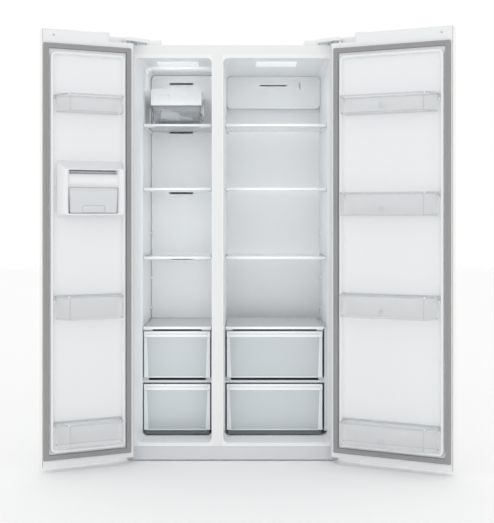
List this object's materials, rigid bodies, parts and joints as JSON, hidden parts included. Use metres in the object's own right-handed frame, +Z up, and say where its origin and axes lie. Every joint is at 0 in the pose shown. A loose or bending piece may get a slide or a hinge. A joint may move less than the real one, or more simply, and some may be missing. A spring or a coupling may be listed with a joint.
{
  "type": "side by side refrigerator",
  "caption": "Tall side by side refrigerator: narrow freezer and wider fridge with hinged doors, glass shelves, pull-out drawers, door baskets and an ice maker.",
  "frame": {"origin": "middle of the footprint of the whole object with its doors open, on the floor", "axes": "+Z up, -Y to the front where the doors open, +X to the right seen from the front"},
  "size_m": [1.6824, 0.9362, 1.795],
  "materials": {
    "white_paint": "satin",
    "liner_plastic": "satin",
    "white_plastic": "gloss",
    "grey_plastic": "satin",
    "clear_plastic": "gloss",
    "smoked_plastic": "gloss",
    "shelf_glass": "clear",
    "gasket_rubber": "matte",
    "light_diffuser": "satin",
    "galvanised": "satin",
    "black_paint": "satin",
    "coil_metal": "satin",
    "black_plastic": "matte",
    "foam": "matte"
  },
  "bodies": {
    "cabinet": {"outer_wrap": "white_paint", "rear_panel": "galvanised", "freezer_liner": "liner_plastic", "fridge_liner": "liner_plastic", "divider_cover": "white_paint", "cabinet_foam": "foam", "plinth": "white_plastic", "base_pan": "galvanised", "levelling_feet": "black_plastic", "evaporator": "coil_metal", "condenser": "black_paint", "compressor": "black_paint", "machine_cover": "black_paint", "evaporator_cover": "liner_plastic", "fridge_duct_cover": "liner_plastic", "ceiling_lights": "light_diffuser", "freezer_drawer_cover": "shelf_glass", "crisper_cover": "shelf_glass", "drawer_rails": "liner_plastic", "ice_maker": "white_plastic", "door_hinges": "galvanised", "hinge_covers": "white_plastic"},
    "left_door": {"left_door_skin": "white_paint", "left_door_foam": "foam", "left_door_liner": "liner_plastic", "left_door_gasket": "gasket_rubber", "left_door_caps": "white_plastic", "door_housing": "white_plastic"},
    "left_door_basket_1": {"left_door_basket_1": "clear_plastic"},
    "left_door_basket_2": {"left_door_basket_2": "clear_plastic"},
    "left_door_basket_3": {"left_door_basket_3": "clear_plastic"},
    "right_door": {"right_door_skin": "white_paint", "right_door_foam": "foam", "right_door_liner": "liner_plastic", "right_door_gasket": "gasket_rubber", "right_door_caps": "white_plastic"},
    "right_door_basket_1": {"right_door_basket_1": "clear_plastic"},
    "right_door_basket_2": {"right_door_basket_2": "clear_plastic"},
    "right_door_basket_3": {"right_door_basket_3": "clear_plastic"},
    "right_door_basket_4": {"right_door_basket_4": "clear_plastic"},
    "door_drawer": {"door_drawer": "clear_plastic"},
    "freezer_drawer_upper": {"freezer_drawer_upper_bin": "clear_plastic", "freezer_drawer_upper_handle": "white_plastic"},
    "freezer_drawer_lower": {"freezer_drawer_lower_bin": "clear_plastic", "freezer_drawer_lower_handle": "white_plastic"},
    "crisper_upper": {"crisper_upper_bin": "clear_plastic", "crisper_upper_handle": "white_plastic"},
    "crisper_lower": {"crisper_lower_bin": "clear_plastic", "crisper_lower_handle": "white_plastic"},
    "freezer_shelf_1": {"freezer_shelf_1": "shelf_glass"},
    "freezer_shelf_2": {"freezer_shelf_2": "shelf_glass"},
    "freezer_shelf_3": {"freezer_shelf_3": "shelf_glass"},
    "fridge_shelf_1": {"fridge_shelf_1": "shelf_glass"},
    "fridge_shelf_2": {"fridge_shelf_2": "shelf_glass"},
    "fridge_shelf_3": {"fridge_shelf_3": "shelf_glass"},
    "ice_bucket": {"ice_bucket": "smoked_plastic", "ice_scoop": "white_plastic"},
    "rear_rollers": {"rear_rollers": "black_plastic"},
    "evaporator_fan": {"evaporator_fan": "grey_plastic"},
    "condenser_fan": {"condenser_fan": "black_plastic"}
  },
  "joints": [
    {"name": "left_door_hinge", "type": "hinge", "parent": "cabinet", "child": "left_door", "pos_m": [-0.49158, -0.20491, 0.9], "axis": [0, 0, -1], "range_deg": [-156.8, 0]},
    {"name": "left_door_basket_1_lift", "type": "slide", "parent": "left_door", "child": "left_door_basket_1", "axis": [0, 0, 1], "range_m": [0, 0.03]},
    {"name": "left_door_basket_2_lift", "type": "slide", "parent": "left_door", "child": "left_door_basket_2", "axis": [0, 0, 1], "range_m": [0, 0.03]},
    {"name": "left_door_basket_3_lift", "type": "slide", "parent": "left_door", "child": "left_door_basket_3", "axis": [0, 0, 1], "range_m": [0, 0.03]},
    {"name": "right_door_hinge", "type": "hinge", "parent": "cabinet", "child": "right_door", "pos_m": [0.37542, -0.20491, 0.9], "axis": [0, 0, 1], "range_deg": [-156.3, 0]},
    {"name": "right_door_basket_1_lift", "type": "slide", "parent": "right_door", "child": "right_door_basket_1", "axis": [0, 0, 1], "range_m": [0, 0.03]},
    {"name": "right_door_basket_2_lift", "type": "slide", "parent": "right_door", "child": "right_door_basket_2", "axis": [0, 0, 1], "range_m": [0, 0.03]},
    {"name": "right_door_basket_3_lift", "type": "slide", "parent": "right_door", "child": "right_door_basket_3", "axis": [0, 0, 1], "range_m": [0, 0.03]},
    {"name": "right_door_basket_4_lift", "type": "slide", "parent": "right_door", "child": "right_door_basket_4", "axis": [0, 0, 1], "range_m": [0, 0.03]},
    {"name": "door_drawer_slide", "type": "slide", "parent": "left_door", "child": "door_drawer", "axis": [0.3939, -0.9191, 0], "range_m": [0, 0.055]},
    {"name": "freezer_drawer_upper_slide", "type": "slide", "parent": "cabinet", "child": "freezer_drawer_upper", "axis": [0, -1, 0], "range_m": [0, 0.3]},
    {"name": "freezer_drawer_lower_slide", "type": "slide", "parent": "cabinet", "child": "freezer_drawer_lower", "axis": [0, -1, 0], "range_m": [0, 0.24]},
    {"name": "crisper_upper_slide", "type": "slide", "parent": "cabinet", "child": "crisper_upper", "axis": [0, -1, 0], "range_m": [0, 0.3]},
    {"name": "crisper_lower_slide", "type": "slide", "parent": "cabinet", "child": "crisper_lower", "axis": [0, -1, 0], "range_m": [0, 0.24]},
    {"name": "freezer_shelf_1_slide", "type": "slide", "parent": "cabinet", "child": "freezer_shelf_1", "axis": [0, -1, 0], "range_m": [0, 0.3]},
    {"name": "freezer_shelf_2_slide", "type": "slide", "parent": "cabinet", "child": "freezer_shelf_2", "axis": [0, -1, 0], "range_m": [0, 0.3]},
    {"name": "freezer_shelf_3_slide", "type": "slide", "parent": "cabinet", "child": "freezer_shelf_3", "axis": [0, -1, 0], "range_m": [0, 0.3]},
    {"name": "fridge_shelf_1_slide", "type": "slide", "parent": "cabinet", "child": "fridge_shelf_1", "axis": [0, -1, 0], "range_m": [0, 0.3]},
    {"name": "fridge_shelf_2_slide", "type": "slide", "parent": "cabinet", "child": "fridge_shelf_2", "axis": [0, -1, 0], "range_m": [0, 0.3]},
    {"name": "fridge_shelf_3_slide", "type": "slide", "parent": "cabinet", "child": "fridge_shelf_3", "axis": [0, -1, 0], "range_m": [0, 0.3]},
    {"name": "ice_bucket_slide", "type": "slide", "parent": "cabinet", "child": "ice_bucket", "axis": [0, -1, 0], "range_m": [0, 0.2]},
    {"name": "rear_rollers_spin", "type": "hinge", "parent": "cabinet", "child": "rear_rollers", "pos_m": [-0.05808, 0.41809, 0.014], "axis": [1, 0, 0], "continuous": true},
    {"name": "evaporator_fan_spin", "type": "hinge", "parent": "cabinet", "child": "evaporator_fan", "pos_m": [-0.30008, 0.32109, 0.86], "axis": [0, 1, 0], "continuous": true},
    {"name": "condenser_fan_spin", "type": "hinge", "parent": "cabinet", "child": "condenser_fan", "pos_m": [-0.02808, 0.35809, 0.146], "axis": [1, 0, 0], "continuous": true}
  ]
}
